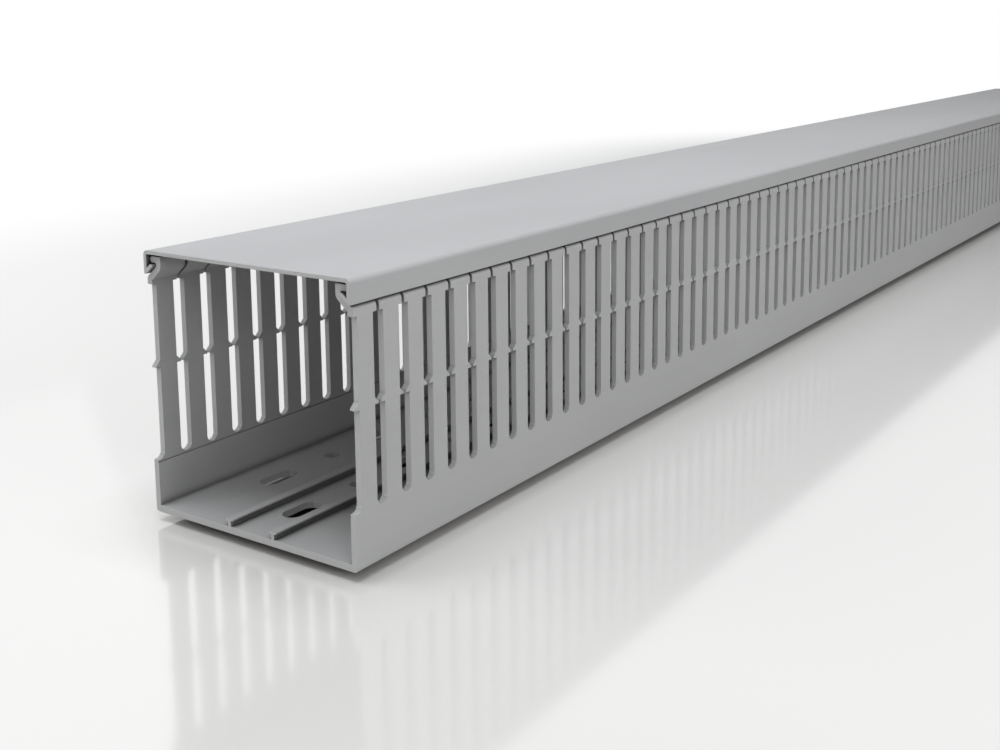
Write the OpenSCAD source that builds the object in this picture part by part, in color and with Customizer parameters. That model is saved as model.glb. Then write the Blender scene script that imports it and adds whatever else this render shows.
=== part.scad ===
// Slotted wire duct: an extruded channel with finger walls, and its hook-on cover.
// The length runs along Y and +Z is up. The origin is at the middle of the underside.

/* [Overall size] */
// Length of the duct and of its cover
length = 1000; // [200:10:1200]
// Width over the two finger walls
width = 80; // [74:1:120]
// Height with the cover on
height = 80; // [60:1:120]

/* [Channel] */
// Thickness of the finger walls and of their hooked heads
wall_t = 1.9; // [1.6:0.1:2.2]
// Thickness of the base
base_t = 2.1; // [1.5:0.1:3]
// Radius of the two long outer corners under the base
base_corner_r = 1; // [0.4:0.1:1.4]
// Height of the solid wall strip under the slots
strip_h = 16.2; // [12:0.1:20]

/* [Snap-off score] */
// Depth of the score along the inside of each wall
score_depth = 0.3; // [0.1:0.05:0.6]
// Width of the score at the wall's face
score_w = 0.5; // [0.3:0.1:0.8]
// Distance from the lowest point of the slots down to the score
score_drop = 0.7; // [0.6:0.1:2]

/* [Slots] */
// Distance from one slot to the next
slot_pitch = 10.5; // [9:0.5:20]
// Width of a slot
slot_w = 4.2; // [3.6:0.1:6]
// Width of the slit between two heads, where a wire is pressed in
slit_w = 1.2; // [0.8:0.1:2]
// Distance from the near end to the middle of the first slot, where the stock was sawn
first_slot = 0.5; // [0.2:0.1:1.2]

/* [Wire-retaining nubs] */
// Distance from the top of a slot down to the flat underside of its nubs
nub_drop = 25.3; // [15:0.1:26]
// Height of a nub where it grows out of its finger
nub_root_h = 2.05; // [1.5:0.05:3]
// Height of a nub at its tip
nub_tip_h = 0.45; // [0.3:0.05:0.8]
// Gap between the tips of two facing nubs
nub_gap = 1; // [0.6:0.1:1.6]

/* [Hooked heads] */
// Height of a head, from the top of the slots to the top of its lip
head_h = 8.5; // [8:0.1:10]
// How far the neck is set in from the wall's outer face
neck_in = 4; // [3.6:0.1:5]
// Slope of the arm that leads from the wall in to the neck, in degrees
arm_slope = 41; // [38:1:44]
// Height of the notch under the lip, which takes the cover's barb
notch_h = 1; // [0.9:0.1:1.4]
// Thickness of the lip on top of the neck
lip_t = 1.9; // [1.5:0.1:2.2]
// Rounding of the wall's outer face into the arm
shoulder_r = 1.5; // [0.8:0.1:2]
// Rounding of the arm's inner face into the neck
elbow_r = 2; // [0.5:0.1:3]

/* [Cover] */
// Thickness of the cover
cover_t = 1.1; // [0.9:0.1:1.3]
// Height of the cover's legs, from its top
leg_h = 7; // [6.8:0.1:7.2]
// Outer radius of the cover's two long corners
cover_corner_r = 1.5; // [1.4:0.1:2]
// Gap between the tops of the heads and the cover's plate
top_gap = 0.7; // [0.4:0.1:0.9]
// Sliding clearance between the cover's barbs and the heads
slide_gap = 0.35; // [0.3:0.01:0.4]

/* [Divider rails] */
// Distance between the middles of the two T-shaped rails on the base
rail_spacing = 17.2; // [14:0.1:24]
// Height of a rail above the base
rail_h = 2.2; // [1.6:0.1:3]
// Width of a rail's stem
rail_stem_w = 1.1; // [0.8:0.1:1.6]
// Width of a rail's cap
rail_cap_w = 2.8; // [2:0.1:3.4]
// Thickness of a rail's cap
rail_cap_t = 0.5; // [0.3:0.1:0.8]

/* [Base holes] */
// Distance between the middle row of holes and each side row
row_spacing = 25; // [21:0.5:28]
// Distance from one hole to the next in a row, oblong and round by turns
hole_step = 25; // [20:0.5:40]
// Distance from the near end to the first oblong hole of the middle row
first_hole = 21; // [12:0.5:40]
// How far the side rows are shifted along the duct against the middle row
row_shift = 15.5; // [0:0.5:20]
// Width of an oblong hole
oblong_w = 6.4; // [4.5:0.1:7]
// Length of an oblong hole, end to end
oblong_l = 14; // [10:0.5:18]
// Diameter of a round hole
round_d = 5.2; // [4:0.1:7]

/* [Hidden] */

overrun = 1;          // how far a cutter runs past the face it cuts
least_finger = 1;     // a sawn-off finger narrower than this has broken away
near_end = -length / 2;
far_end = length / 2;
outer_x = width / 2;
inner_x = outer_x - wall_t;
duct_grey = [0.64, 0.645, 0.65];
cover_grey = [0.72, 0.725, 0.735];

// Heights in the section, from the underside up
score_z = strip_h - score_drop;
strip_top = strip_h - (score_drop - score_w / 2) / 2;   // between the score and the slots
foot_z = strip_h + slot_w / 2;                          // middle of a slot's round foot
lip_top = height - cover_t - top_gap;
lip_under = lip_top - lip_t;
notch_floor = lip_under - notch_h;
slot_top = lip_top - head_h;
nub_z = slot_top - nub_drop;

// Slots and fingers along the length
slot_count = floor((length - first_slot + slot_w / 2) / slot_pitch) + 1;
function slot_y(i) = near_end + first_slot + i * slot_pitch;
function inside(y) = min(y, far_end);

// Height of the arm's outer face, or of a face parallel to it at a gap, at a depth into the wall
function arm_z(depth, gap = 0) =
    notch_floor - (neck_in - depth) * tan(arm_slope) + gap / cos(arm_slope);
function arm_depth(z, gap = 0) = (z - arm_z(0, gap)) / tan(arm_slope);

// Points on an arc round a centre, from one angle to another
function arc(centre, r, from, to, steps) =
    [for (i = [0 : steps])
        let (a = from + (to - from) * i / steps)
        centre + r * [cos(a), sin(a)]];

// A right half's outline, closed by its mirror image
function both_halves(half) =
    let (last = len(half) - 1)
    concat(half, [for (i = [last : -1 : 0]) [-half[i].x, half[i].y]]);

// Extrudes a section, drawn across the duct, from one place along the length to another
module extrude_along(from = near_end, to = far_end) {
    translate([0, to, 0])
        rotate([90, 0, 0])
            linear_extrude(to - from)
                children();
}

// Extrudes a side elevation, drawn along the duct, through the thickness of a wall
module extrude_wall() {
    translate([inner_x, 0, 0])
        rotate([90, 0, 90])
            linear_extrude(wall_t)
                children();
}

// Right half of the channel up to just under the slots, with its score and its rail
function channel_half() =
    let (
        rail_x = rail_spacing / 2,
        stem = rail_stem_w / 2,
        cap = rail_cap_w / 2,
        cap_top = base_t + rail_h,
        cap_under = cap_top - rail_cap_t
    )
    concat(
        arc([outer_x - base_corner_r, base_corner_r], base_corner_r, -90, 0, 4),
        [
            [outer_x, strip_top],
            [inner_x, strip_top],
            [inner_x, score_z + score_w / 2],
            [inner_x + score_depth, score_z],
            [inner_x, score_z - score_w / 2],
            [inner_x, base_t],
            [rail_x + stem, base_t],
            [rail_x + stem, cap_under],
            [rail_x + cap, cap_under],
            [rail_x + cap, cap_top],
            [rail_x - cap, cap_top],
            [rail_x - cap, cap_under],
            [rail_x - stem, cap_under],
            [rail_x - stem, base_t]
        ]
    );

module oblong_hole() {
    straight = oblong_l - oblong_w;
    translate([0, 0, -overrun])
        linear_extrude(base_t + 2 * overrun) {
            translate([-oblong_w / 2, -straight / 2])
                square([oblong_w, straight]);
            for (end = [-1, 1])
                translate([0, end * straight / 2])
                    circle(d = oblong_w, $fn = 32);
        }
}

module round_hole() {
    translate([0, 0, -overrun])
        cylinder(h = base_t + 2 * overrun, d = round_d, $fn = 32);
}

// A row of screw holes, oblong first and then by turns, at a distance from the near end
module hole_row(start) {
    holes = floor((length - start - oblong_l) / hole_step) + 1;
    for (i = [0 : holes - 1])
        translate([0, near_end + start + i * hole_step, 0])
            if (i % 2 == 0) oblong_hole();
            else round_hole();
}

module channel() {
    difference() {
        extrude_along() polygon(both_halves(channel_half()));
        hole_row(first_hole);
        for (side = [-1, 1])
            translate([side * row_spacing, 0, 0])
                hole_row(first_hole + row_shift);
    }
}

// The round feet of the slots, sunk into the top of a wall's strip
module slot_feet() {
    extrude_wall()
        difference() {
            translate([near_end, strip_top])
                square([length, foot_z - strip_top]);
            for (i = [0 : slot_count - 1])
                translate([slot_y(i), foot_z])
                    circle(d = slot_w, $fn = 32);
        }
}

// A finger's web from one slot to the next, with a nub on each side that faces a slot
function web_outline(near_slot, far_slot) =
    let (
        near = near_slot + slot_w / 2,
        far = inside(far_slot - slot_w / 2),
        near_tip = near_slot + nub_gap / 2,
        far_tip = inside(far_slot - nub_gap / 2),
        tip_z = nub_z + nub_tip_h,
        root_z = nub_z + nub_root_h
    )
    concat(
        [[near, foot_z], [far, foot_z]],
        far_tip > far ? [[far, nub_z], [far_tip, nub_z], [far_tip, tip_z], [far, root_z]] : [],
        [[far, slot_top], [near, slot_top]],
        [[near, root_z], [near_tip, tip_z], [near_tip, nub_z], [near, nub_z]]
    );

// Section of a hooked head: arm, neck and lip, all as thick as the wall
function head_section() =
    let (
        neck_x = outer_x - neck_in,
        lip_x = outer_x - cover_t - slide_gap,
        turn = 90 - arm_slope,
        shoulder_z = arm_z(0) - shoulder_r * tan(turn / 2),
        elbow_z = arm_z(neck_in + wall_t, -wall_t) + elbow_r * tan(turn / 2)
    )
    concat(
        [[inner_x, slot_top], [outer_x, slot_top]],
        arc([outer_x - shoulder_r, shoulder_z], shoulder_r, 0, turn, 3),
        [
            [neck_x, notch_floor],
            [neck_x, lip_under],
            [lip_x - 0.3 * lip_t, lip_under],
            [lip_x, lip_under + 0.7 * lip_t],
            [lip_x - 0.4 * lip_t, lip_top],
            [neck_x - wall_t, lip_top]
        ],
        arc([neck_x - wall_t + elbow_r, elbow_z], elbow_r, 180, 180 + turn, 2),
        [[inner_x, arm_z(wall_t, -wall_t)]]
    );

// All fingers of the right wall, each a web that carries a longer head
module fingers() {
    for (i = [0 : slot_count - 1])
        if (far_end - slot_y(i) - slot_w / 2 > least_finger) {
            extrude_wall()
                polygon(web_outline(slot_y(i), slot_y(i + 1)));
            extrude_along(slot_y(i) + slit_w / 2, inside(slot_y(i + 1) - slit_w / 2))
                polygon(head_section());
        }
}

module duct_body() {
    color(duct_grey) {
        channel();
        for (side = [0, 1])
            mirror([side, 0, 0]) {
                slot_feet();
                fingers();
            }
    }
}

// Right half of the cover: plate, leg, and the barb that lies in the heads' notch
function cover_half() =
    let (
        leg_z = height - leg_h,
        corner = [outer_x - cover_corner_r, height - cover_corner_r],
        barb_depth = neck_in - slide_gap,
        barb_top = lip_under - slide_gap,
        back_gap = slide_gap + cover_t
    )
    concat(
        arc(corner, cover_corner_r, 90, 0, 6),
        [
            [outer_x, leg_z],
            [outer_x - arm_depth(leg_z, slide_gap), leg_z],
            [outer_x - barb_depth, arm_z(barb_depth, slide_gap)],
            [outer_x - barb_depth, barb_top],
            [outer_x - arm_depth(barb_top, back_gap), barb_top],
            [outer_x - cover_t, arm_z(cover_t, back_gap)]
        ],
        arc(corner, cover_corner_r - cover_t, 0, 90, 3)
    );

module cover() {
    color(cover_grey)
        extrude_along() polygon(both_halves(cover_half()));
}

duct_body();
cover();
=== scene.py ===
import math

import bpy
from mathutils import Matrix, Vector


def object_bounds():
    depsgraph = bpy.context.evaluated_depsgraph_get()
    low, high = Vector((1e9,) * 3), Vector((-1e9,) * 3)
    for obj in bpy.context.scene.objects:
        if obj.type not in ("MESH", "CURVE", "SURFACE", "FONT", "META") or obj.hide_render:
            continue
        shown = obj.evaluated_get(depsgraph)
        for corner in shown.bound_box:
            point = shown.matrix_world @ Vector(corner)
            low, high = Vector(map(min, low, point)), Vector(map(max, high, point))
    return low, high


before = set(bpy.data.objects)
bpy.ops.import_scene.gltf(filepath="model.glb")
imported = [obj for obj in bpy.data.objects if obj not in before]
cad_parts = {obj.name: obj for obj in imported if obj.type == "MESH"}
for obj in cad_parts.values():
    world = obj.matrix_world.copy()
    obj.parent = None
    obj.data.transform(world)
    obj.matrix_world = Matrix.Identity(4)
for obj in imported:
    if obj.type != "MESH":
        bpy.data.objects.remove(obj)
cadBox = [list(corner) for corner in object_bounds()]
mm = 0.001
noiseSpread = (0.3, 0.7)    # most of a noise texture's values lie between these


def fromHex(colour):
    # sRGB hex to the linear colour that the shaders work in
    parts = [int(colour[i:i + 2], 16) / 255 for i in (1, 3, 5)]
    return [p / 12.92 if p <= 0.04045 else ((p + 0.055) / 1.055) ** 2.4 for p in parts] + [1.0]


def addNode(tree, kind, feeds=None, out=0, **settings):
    # adds a node with its settings, sets or links its inputs, and gives back one of its outputs
    node = tree.nodes.new(kind)
    for name, value in settings.items():
        setattr(node, name, value)
    inputs = [socket for socket in node.inputs if socket.enabled]
    for key, value in (feeds or {}).items():
        socket = inputs[key] if isinstance(key, int) else next(s for s in inputs if s.name == key)
        if isinstance(value, bpy.types.NodeSocket):
            tree.links.new(value, socket)
        else:
            socket.default_value = value
    outputs = [socket for socket in node.outputs if socket.enabled]
    if outputs:
        return outputs[out] if isinstance(out, int) else next(s for s in outputs if s.name == out)


def remap(tree, value, source, target=(0.0, 1.0), **settings):
    # brings a value from one range to another and holds it there
    return addNode(tree, "ShaderNodeMapRange", {
        "Value": value,
        "From Min": source[0],
        "From Max": source[1],
        "To Min": target[0],
        "To Max": target[1],
    }, **settings)


def newMaterial(name):
    material = bpy.data.materials.new(name)
    material.use_nodes = True
    material.node_tree.nodes.clear()
    return material, material.node_tree


# Rigid PVC comes out of its die silky matt. The die leaves faint lines that run the whole length and the
# calibrator a slow waviness, so highlights are soft and slightly streaked along the length. Where it was
# sawn or punched the skin is gone: those faces are a touch paler, duller and marked across.
pvc = {
    "ior": 1.53,
    "specular": 0.3,
    "noiseRoughness": 0.55,      # how strongly the finer detail of each noise shows
    "dieLinePitch": 1.1 * mm,    # a real die line is about 0.3 mm wide, drawn coarser so that it shows
    "dieLineRun": 260 * mm,      # length over which a line fades in and out
    "dieLineDepth": 0.012 * mm,
    "wavePitch": 16 * mm,        # waviness left by cooling
    "waveRun": 70 * mm,
    "waveDepth": 0.05 * mm,
    "grainSize": 0.35 * mm,      # matt skin
    "grainDepth": 0.004 * mm,
    "mottleSize": 45 * mm,       # uneven pigment and handling
    "mottleStretch": 3,          # times as long along the duct as across
    "mottleAmount": 0.035,
    "cutMarkPitch": 0.45 * mm,   # lines left by the saw and the punch
    "cutMarkRun": 6 * mm,
    "cutMarkDepth": 0.02 * mm,
    "cutFacing": 0.9,            # a face turned this far to an end is a sawn or punched one
    "glossSpread": 0.03,         # how much the grain varies the gloss
    "edgeRadius": 0.22 * mm,     # edges are slightly broken, never sharp
    "edgeWhitenAndHighlight": 0.12,            # the punch whitens the edges a little, and this paler edge is also a painted highlight
    "edgeTurn": (0.99, 0.8),     # from where a rounded edge counts as turned away, to fully
    "edgeSamples": 4,
    "gapReach": 3.5 * mm,        # painted shade: slits and gaps this narrow are darkened in the colour
    "gapShade": 0.1,             # what is left of the colour deep inside them
    "gapOpen": (0.3, 0.85),      # how open a place is, from full painted shade to none
    "innerReach": 100 * mm,      # faces that look at each other across the channel
    "innerShade": 0.75,          # get painted shade, so they are greyer
    "innerOpen": (0.2, 0.9),
    "gapSamples": 6,
}


def makeExtrudedPvc(name, look):
    material, tree = newMaterial(name)
    place = addNode(tree, "ShaderNodeTexCoord", out="Object")
    facing = addNode(tree, "ShaderNodeNewGeometry", out="True Normal")
    across = addNode(tree, "ShaderNodeSeparateXYZ", {0: facing}, out="Y")
    steep = addNode(tree, "ShaderNodeMath", {0: across}, operation="ABSOLUTE")
    cut = addNode(tree, "ShaderNodeMath", {0: steep, 1: pvc["cutFacing"]}, operation="GREATER_THAN")

    def stretched(sizeX, sizeY, sizeZ, detail, seed=0.0):
        # noise whose patches have these sizes along each direction
        spread = addNode(tree, "ShaderNodeMapping", {
            "Vector": place,
            "Location": (seed, seed, seed),
            "Scale": (1 / sizeX, 1 / sizeY, 1 / sizeZ),
        })
        return addNode(tree, "ShaderNodeTexNoise", {
            "Vector": spread,
            "Scale": 1.0,
            "Detail": detail,
            "Roughness": pvc["noiseRoughness"],
        })

    dieLines = stretched(pvc["dieLinePitch"], pvc["dieLineRun"], pvc["dieLinePitch"], detail=2)
    waves = stretched(pvc["wavePitch"], pvc["waveRun"], pvc["wavePitch"], detail=1, seed=3.1)
    grain = stretched(pvc["grainSize"], pvc["grainSize"], pvc["grainSize"], detail=2, seed=7.7)
    mottleRun = pvc["mottleStretch"] * pvc["mottleSize"]
    mottle = stretched(pvc["mottleSize"], mottleRun, pvc["mottleSize"], detail=3, seed=11.3)
    cutMarks = stretched(pvc["cutMarkRun"], pvc["cutMarkRun"], pvc["cutMarkPitch"], detail=2, seed=5.9)

    # colour: slow mottle, die lines as faint streaks, cut faces paler
    shade = remap(tree, mottle, noiseSpread, (1 - pvc["mottleAmount"], 1 + pvc["mottleAmount"]))
    streak = remap(tree, dieLines, noiseSpread, (1 - look["streakAmount"], 1 + look["streakAmount"]))
    tone = addNode(tree, "ShaderNodeMath", {0: shade, 1: streak}, operation="MULTIPLY")
    skin = addNode(tree, "ShaderNodeVectorMath", {
        0: fromHex(look["skin"])[:3],
        "Scale": tone,
    }, operation="SCALE")
    colour = addNode(tree, "ShaderNodeMix", {
        "Factor": cut,
        "A": skin,
        "B": fromHex(look["cutFace"]),
    }, data_type="RGBA")

    # edges pale where the broken edge turns away from the face: partly whitening from the punch, partly a
    # painted highlight along each edge
    rounded = addNode(tree, "ShaderNodeBevel", {
        "Radius": pvc["edgeRadius"],
    }, samples=pvc["edgeSamples"])
    turned = addNode(tree, "ShaderNodeVectorMath", {
        0: rounded,
        1: facing,
    }, out="Value", operation="DOT_PRODUCT")
    paleEdgeAndHighlight = remap(tree, turned, pvc["edgeTurn"], (1.0, 1 + pvc["edgeWhitenAndHighlight"]))
    # painted shade in the colour: narrow gaps darkened, and the inside of the channel darker than the
    # outside
    openness = addNode(tree, "ShaderNodeAmbientOcclusion", {
        "Distance": pvc["gapReach"],
    }, out="AO", samples=pvc["gapSamples"])
    paintedGapShade = remap(tree, openness, pvc["gapOpen"], (pvc["gapShade"], 1.0))
    # painted shade: faces deep in the channel, which see little of the outside, are darkened
    exposure = addNode(tree, "ShaderNodeAmbientOcclusion", {
        "Distance": pvc["innerReach"],
    }, out="AO", samples=pvc["gapSamples"], only_local=True)
    grey = remap(tree, exposure, pvc["innerOpen"], (pvc["innerShade"], 1.0))
    # painted highlight and painted shade, with the punch's whitening, multiplied into the colour
    whiteningAndPaintedLight = addNode(tree, "ShaderNodeMath", {0: paleEdgeAndHighlight, 1: paintedGapShade}, operation="MULTIPLY")
    whiteningAndPaintedLight = addNode(tree, "ShaderNodeMath", {0: whiteningAndPaintedLight, 1: grey}, operation="MULTIPLY")
    colour = addNode(tree, "ShaderNodeVectorMath", {0: colour, "Scale": whiteningAndPaintedLight}, operation="SCALE")

    # gloss: the skin is silky, cut faces are dull
    gloss = remap(tree, grain, noiseSpread, (
        look["roughness"] - pvc["glossSpread"],
        look["roughness"] + pvc["glossSpread"],
    ))
    roughness = addNode(tree, "ShaderNodeMix", {
        "Factor": cut,
        "A": gloss,
        "B": look["cutRoughness"],
    }, data_type="FLOAT")

    # relief: broken edges first, then waves, die lines and grain, or cut marks
    relief = rounded
    for height, depth, strength in (
        (waves, pvc["waveDepth"], 1.0),
        (dieLines, pvc["dieLineDepth"], 1.0),
        (grain, pvc["grainDepth"], 1.0),
        (cutMarks, pvc["cutMarkDepth"], cut),
    ):
        relief = addNode(tree, "ShaderNodeBump", {
            "Strength": strength,
            "Height": height,
            "Distance": depth,
            "Normal": relief,
        })

    surface = addNode(tree, "ShaderNodeBsdfPrincipled", {
        "Base Color": colour,
        "Roughness": roughness,
        "IOR": pvc["ior"],
        "Specular IOR Level": pvc["specular"],
        "Normal": relief,
    })
    addNode(tree, "ShaderNodeOutputMaterial", {"Surface": surface})
    return material


def dress(nodeName, material):
    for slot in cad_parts[nodeName].material_slots:
        slot.material = material


channelLook = {
    "skin": "#a4a4a4",
    "cutFace": "#b8b8b8",
    "roughness": 0.55,
    "cutRoughness": 0.62,
    "streakAmount": 0.012,
}
coverLook = {
    "skin": "#a4a4a5",
    "cutFace": "#b8b8b8",
    "roughness": 0.52,
    "cutRoughness": 0.62,
    "streakAmount": 0.012,
}
dress("duct_body", makeExtrudedPvc("extruded rigid PVC channel", channelLook))
dress("cover", makeExtrudedPvc("extruded rigid PVC cover", coverLook))
print("PVC finishes done")


# A pale table top of back-painted glass that clears to white away from the duct. What shows and mirrors is
# the paint, a little under the duct, so the mirror image starts below its foot.
floorLook = {
    "size": 12.0,
    "depth": 3 * mm,
    "colour": "#d0cfcc",
    "roughness": 0.1,
    "ior": 2.2,
    "specular": 0.5,
    "shadeFrom": 3 * mm,     # how far in under the duct the painted shadow on the floor begins
    "shadeTo": 12 * mm,
    "shadeDepth": 0.1,
    "clearFrom": 0.04,       # distance from the duct, in metres, where the white begins
    "clearTo": 0.6,
}


def makeFloor(look):
    low, high = (Vector(corner) for corner in cadBox)
    bpy.ops.mesh.primitive_plane_add(size=look["size"], location=(0, 0, low.z - look["depth"]))
    floor = bpy.context.object
    floor.name = "studioFloor"
    material, tree = newMaterial("back-painted glass table top")
    place = addNode(tree, "ShaderNodeTexCoord", out="Object")
    quarter = addNode(tree, "ShaderNodeVectorMath", {0: place}, operation="ABSOLUTE")
    past = addNode(tree, "ShaderNodeVectorMath", {
        0: quarter,
        1: (high.x, high.y, 0),
    }, operation="SUBTRACT")
    outside = addNode(tree, "ShaderNodeMath", {
        0: addNode(tree, "ShaderNodeSeparateXYZ", {0: past}, out="X"),
        1: addNode(tree, "ShaderNodeSeparateXYZ", {0: past}, out="Y"),
    }, operation="MAXIMUM")
    # painted shadow: the floor's colour and its reflection are darkened in under the duct
    underneath = (-look["shadeTo"], -look["shadeFrom"])
    shade = remap(tree, outside, underneath, (look["shadeDepth"], 1.0), interpolation_type="SMOOTHSTEP")
    apart = addNode(tree, "ShaderNodeVectorMath", {0: past, 1: (0, 0, 0)}, operation="MAXIMUM")
    distance = addNode(tree, "ShaderNodeVectorMath", {0: apart}, out="Value", operation="LENGTH")
    clearing = (look["clearFrom"], look["clearTo"])
    clear = remap(tree, distance, clearing, interpolation_type="SMOOTHSTEP")
    seen = addNode(tree, "ShaderNodeLightPath", out="Is Camera Ray")
    whiteShare = addNode(tree, "ShaderNodeMath", {0: clear, 1: seen}, operation="MULTIPLY")
    paint = addNode(tree, "ShaderNodeBsdfPrincipled", {
        "Base Color": addNode(tree, "ShaderNodeVectorMath", {
            0: fromHex(look["colour"])[:3],
            "Scale": shade,
        }, operation="SCALE"),
        "Roughness": look["roughness"],
        "IOR": look["ior"],
        "Specular IOR Level": addNode(tree, "ShaderNodeMath", {
            0: shade,
            1: look["specular"],
        }, operation="MULTIPLY"),
    })
    white = addNode(tree, "ShaderNodeEmission", {"Color": (1, 1, 1, 1), "Strength": 1.0})
    both = addNode(tree, "ShaderNodeMixShader", {0: whiteShare, 1: paint, 2: white})
    addNode(tree, "ShaderNodeOutputMaterial", {"Surface": both})
    floor.data.materials.append(material)


makeFloor(floorLook)
print("floor done")


# Soft studio light: square softboxes round the near end, inside a pale surround that is grey at the horizon
# and dim overhead
studioLight = {
    "surround": "#ffffff",
    "horizon": "#38424c",
    "greyUpTo": 0.08,        # sines of the elevations between which the surround pales
    "paleFrom": 0.22,
    "paleUpTo": 0.5,         # and between which it dims again towards the top
    "dimFrom": 0.68,
    "dimLevel": 0.15,
    "surroundStrength": 0.15,
    "boxSize": 0.9,
    "boxes": {               # place, the point it faces, power and colour
        "overBox": ((0.0, -0.5, 1.3), (0.0, -0.4, 0.0), 17.0, "#f9fcff"),
        "rightBox": ((1.4, -0.2, 0.5), (0.0, -0.2, 0.05), 7.5, "#ffffff"),
        "frontLeftBox": ((-0.9, -1.0, 0.9), (0.0, -0.4, 0.05), 5.5, "#ffffff"),
        "frontRightBox": ((0.9, -1.3, 1.0), (0.0, -0.4, 0.05), 6.5, "#ffffff"),
        "leftBox": ((-1.2, 0.0, 0.8), (0.0, -0.1, 0.05), 0.6, "#ffffff"),
    },
}


def surroundStudio(look):
    world = bpy.data.worlds.new("studioSurround")
    world.use_nodes = True
    tree = world.node_tree
    tree.nodes.clear()
    backdrop = addNode(tree, "ShaderNodeLightPath", out="Is Camera Ray")
    seen = backdrop
    for ray in ("Is Glossy Ray", "Is Transmission Ray"):
        seen = addNode(tree, "ShaderNodeMath", {
            0: seen,
            1: addNode(tree, "ShaderNodeLightPath", out=ray),
        }, operation="MAXIMUM")
    strength = remap(tree, seen, (0.0, 1.0), (look["surroundStrength"], 1.0))
    direction = addNode(tree, "ShaderNodeTexCoord", out="Generated")
    height = addNode(tree, "ShaderNodeSeparateXYZ", {0: direction}, out="Z")
    paling = (look["greyUpTo"], look["paleFrom"])
    rise = remap(tree, height, paling, interpolation_type="SMOOTHSTEP")
    dimming = (look["paleUpTo"], look["dimFrom"])
    dim = remap(tree, height, dimming, (1.0, look["dimLevel"]), interpolation_type="SMOOTHSTEP")
    rise = addNode(tree, "ShaderNodeMath", {0: rise, 1: dim}, operation="MULTIPLY")
    rise = addNode(tree, "ShaderNodeMath", {0: rise, 1: backdrop}, operation="MAXIMUM")
    colour = addNode(tree, "ShaderNodeMix", {
        "Factor": rise,
        "A": fromHex(look["horizon"]),
        "B": fromHex(look["surround"]),
    }, data_type="RGBA")
    background = addNode(tree, "ShaderNodeBackground", {
        "Color": colour,
        "Strength": strength,
    })
    addNode(tree, "ShaderNodeOutputWorld", {"Surface": background})
    bpy.context.scene.world = world


def hangSoftboxes(look):
    for name, (place, facing, power, colour) in look["boxes"].items():
        lamp = bpy.data.lights.new(name, "AREA")
        lamp.shape = "SQUARE"
        lamp.size = look["boxSize"]
        lamp.energy = power
        lamp.color = fromHex(colour)[:3]
        softbox = bpy.data.objects.new(name, lamp)
        softbox.location = place
        aim = Vector(facing) - softbox.location
        softbox.rotation_euler = aim.to_track_quat("-Z", "Y").to_euler()
        softbox.visible_camera = False
        bpy.context.scene.collection.objects.link(softbox)


surroundStudio(studioLight)
hangSoftboxes(studioLight)
print("light done")


# The camera stands low and close in front of the right wall and looks along the duct
cameraView = {
    "aside": 0.2514,        # from the middle line, in metres
    "ahead": 0.236,         # in front of the near end
    "height": 0.1442,
    "heading": 34.81,       # degrees to the left of straight along the duct
    "dip": 8.85,            # degrees below level
    "roll": -0.56,          # degrees anticlockwise
    "lens": 45.0,           # millimetres, on a sensor this wide:
    "sensor": 36.0,
    "clipFrom": 0.01,
    "shiftY": -0.156,       # keeps the walls upright while the low half of the view shows more
}


def placeCamera(look):
    low = Vector(cadBox[0])
    data = bpy.data.cameras.new("camera")
    data.lens = look["lens"]
    data.sensor_width = look["sensor"]
    data.shift_y = look["shiftY"]
    data.clip_start = look["clipFrom"]
    camera = bpy.data.objects.new("camera", data)
    turn = (
        Matrix.Rotation(math.radians(look["heading"]), 4, "Z")
        @ Matrix.Rotation(math.radians(90 - look["dip"]), 4, "X")
        @ Matrix.Rotation(math.radians(look["roll"]), 4, "Z")
    )
    place = Vector((look["aside"], low.y - look["ahead"], low.z + look["height"]))
    camera.matrix_world = Matrix.Translation(place) @ turn
    bpy.context.scene.collection.objects.link(camera)
    bpy.context.scene.camera = camera


placeCamera(cameraView)
bpy.context.scene.view_settings.view_transform = "Standard"
print("camera done")
